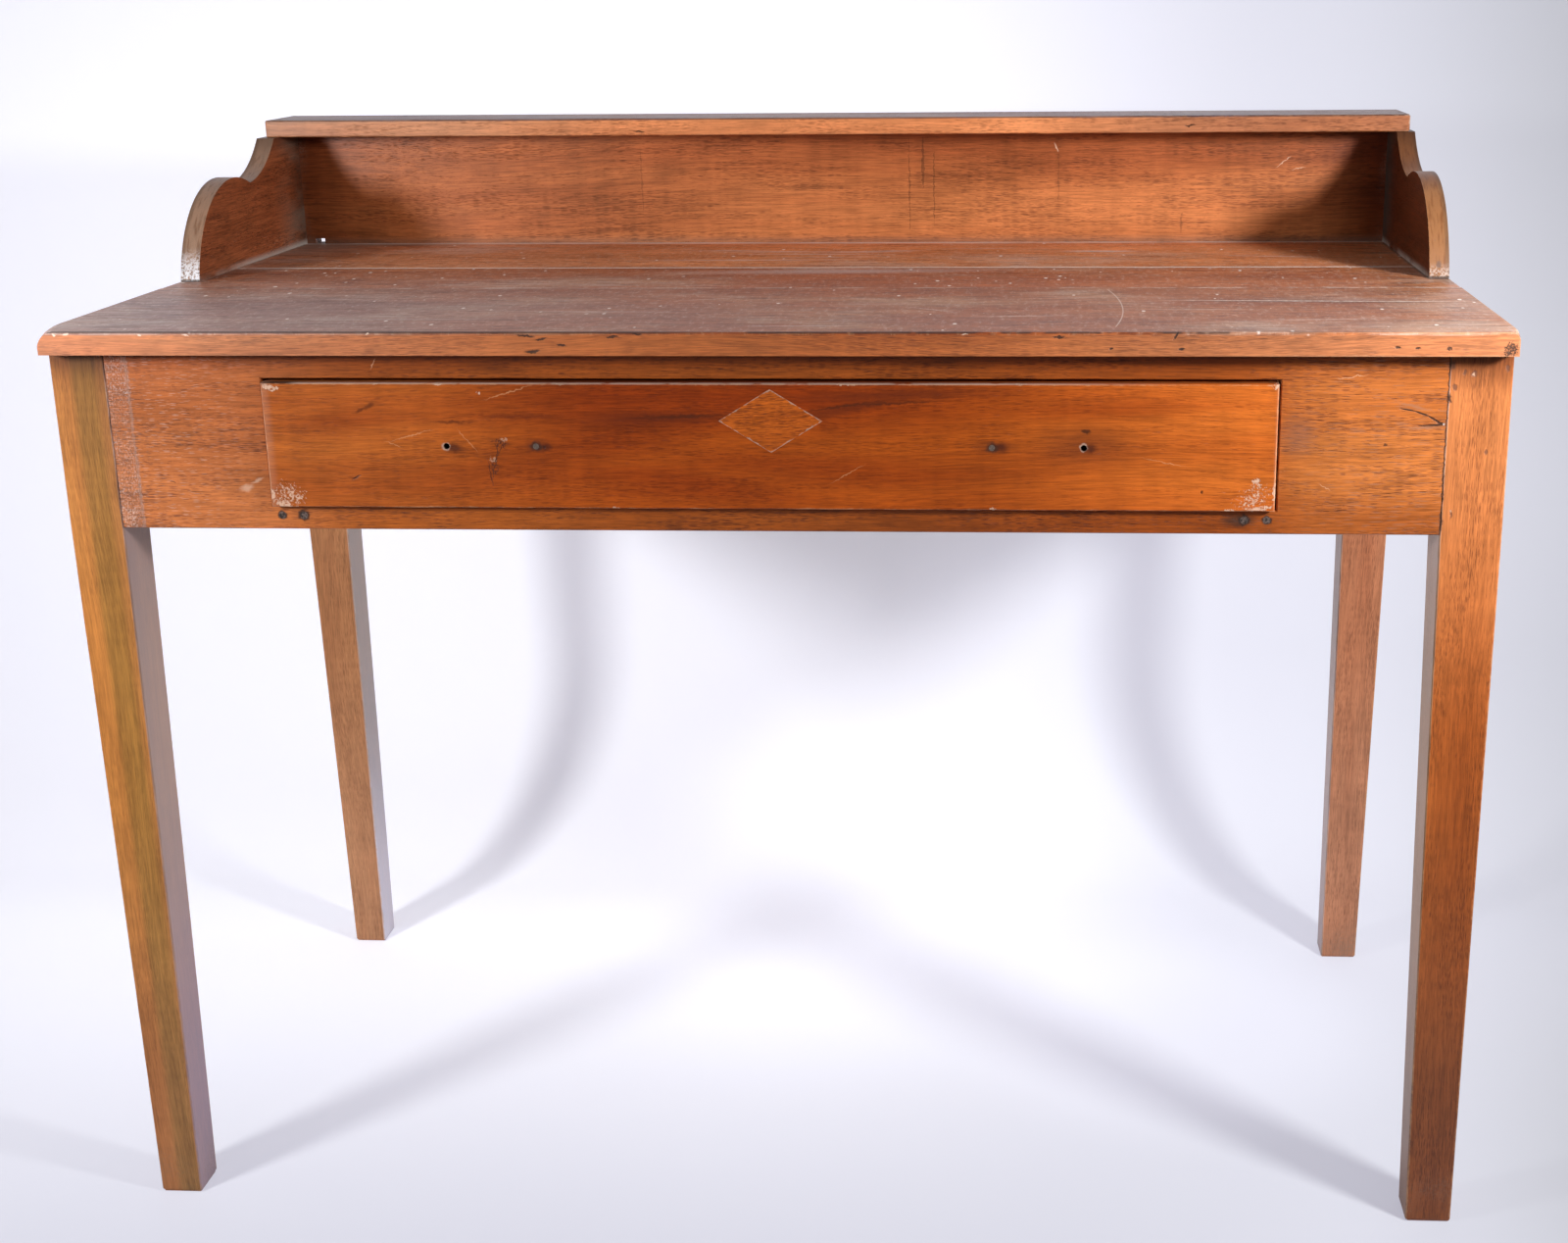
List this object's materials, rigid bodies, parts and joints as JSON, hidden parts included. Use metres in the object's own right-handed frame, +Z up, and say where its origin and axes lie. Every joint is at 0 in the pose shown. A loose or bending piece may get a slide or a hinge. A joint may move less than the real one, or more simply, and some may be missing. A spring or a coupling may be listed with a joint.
{
  "type": "writing desk",
  "caption": "Writing desk on square tapered legs with a wide drawer and a low gallery with scrolled sides and a narrow shelf.",
  "frame": {"origin": "on the floor, under the middle of the whole desk", "axes": "+X to the right for someone who sits at the desk, +Y from the drawer to the gallery, +Z up"},
  "size_m": [1.113, 0.581, 0.885],
  "materials": {
    "top_wood": "old polish, dusty and rubbed",
    "leg_wood": "old polish, satin",
    "apron_wood": "old polish, open pores",
    "drawer_face_wood": "polished, satin",
    "drawer_box_wood": "unfinished, aged",
    "inner_wood": "unfinished, sawn and dusty",
    "gallery_wood": "old polish, satin",
    "inlay_wood": "polished, satin",
    "dowel_wood": "unfinished",
    "plug_wood": "rubbed filler",
    "iron": "rusted black iron"
  },
  "bodies": {
    "desk": {"top_board_front": "top_wood", "top_board_middle": "top_wood", "top_board_rear": "top_wood", "top_dowels": "dowel_wood", "leg_front_left": "leg_wood", "leg_front_right": "leg_wood", "leg_back_left": "leg_wood", "leg_back_right": "leg_wood", "apron_front": "apron_wood", "apron_back": "inner_wood", "apron_left": "apron_wood", "apron_right": "apron_wood", "glue_blocks": "inner_wood", "runner_left": "inner_wood", "runner_right": "inner_wood", "guide_left": "inner_wood", "guide_right": "inner_wood", "kicker_left": "inner_wood", "kicker_right": "inner_wood", "drawer_stops": "inner_wood", "runner_nails": "iron", "gallery_side_left": "gallery_wood", "gallery_side_right": "gallery_wood", "gallery_back": "gallery_wood", "gallery_shelf": "gallery_wood", "gallery_dowels": "dowel_wood", "shelf_nails": "iron"},
    "drawer": {"drawer_front": "drawer_face_wood", "drawer_side_left": "drawer_box_wood", "drawer_side_right": "drawer_box_wood", "drawer_back": "drawer_box_wood", "drawer_bottom_front": "drawer_box_wood", "drawer_bottom_rear": "drawer_box_wood", "drawer_nails": "iron", "diamond_inlay": "inlay_wood", "hole_plugs": "plug_wood"}
  },
  "joints": [
    {"name": "drawer_slide", "type": "slide", "parent": "desk", "child": "drawer", "axis": [0, -1, 0], "range_m": [0, 0.4]}
  ]
}
